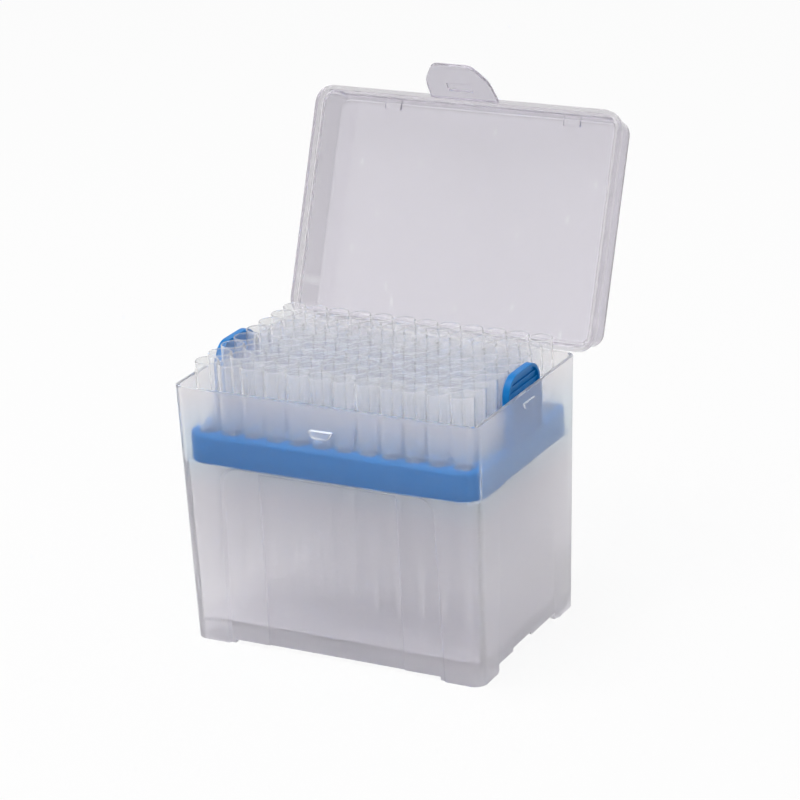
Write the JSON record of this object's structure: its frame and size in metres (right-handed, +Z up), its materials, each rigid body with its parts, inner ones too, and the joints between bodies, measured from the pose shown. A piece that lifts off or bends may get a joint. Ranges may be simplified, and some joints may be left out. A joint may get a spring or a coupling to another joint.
{
  "type": "pipette tip box",
  "caption": "Hinged box of disposable pipette tips: frosted base, blue perforated rack with lifting handles, standing clear tips, and a clear lid with a snap latch.",
  "frame": {"origin": "on the surface that the box stands on, at the middle of the base's footprint", "axes": "+X to the right along the hinge line, +Y from the latch side to the hinge side, +Z up"},
  "size_m": [0.1228, 0.1353, 0.1899],
  "materials": {
    "frosted_polypropylene": "natural polypropylene, frosted and see-through only close behind the wall",
    "blue_polypropylene": "satin mid-blue moulded plastic",
    "clear_polypropylene": "clear smooth moulded plastic, faintly milky",
    "lid_polypropylene": "clear moulded plastic with a light haze"
  },
  "bodies": {
    "base": {"base_box": "frosted_polypropylene", "tip_rack": "blue_polypropylene", "tips_column_01": "clear_polypropylene", "tips_column_02": "clear_polypropylene", "tips_column_03": "clear_polypropylene", "tips_column_04": "clear_polypropylene", "tips_column_05": "clear_polypropylene", "tips_column_06": "clear_polypropylene", "tips_column_07": "clear_polypropylene", "tips_column_08": "clear_polypropylene", "tips_column_09": "clear_polypropylene", "tips_column_10": "clear_polypropylene", "tips_column_11": "clear_polypropylene", "tips_column_12": "clear_polypropylene"},
    "lid": {"lid": "lid_polypropylene"},
    "latch": {"latch_tab": "lid_polypropylene"}
  },
  "joints": [
    {"name": "lid_hinge", "type": "hinge", "parent": "base", "child": "lid", "pos_m": [0, 0.0455, 0.0923], "axis": [1, 0, 0], "range_deg": [0, 111]},
    {"name": "latch_hinge", "type": "hinge", "parent": "lid", "child": "latch", "pos_m": [0, 0.07734, 0.17455], "axis": [1, 0, 0], "range_deg": [-60, 34], "stiffness_Nm_per_rad": 0.001}
  ]
}
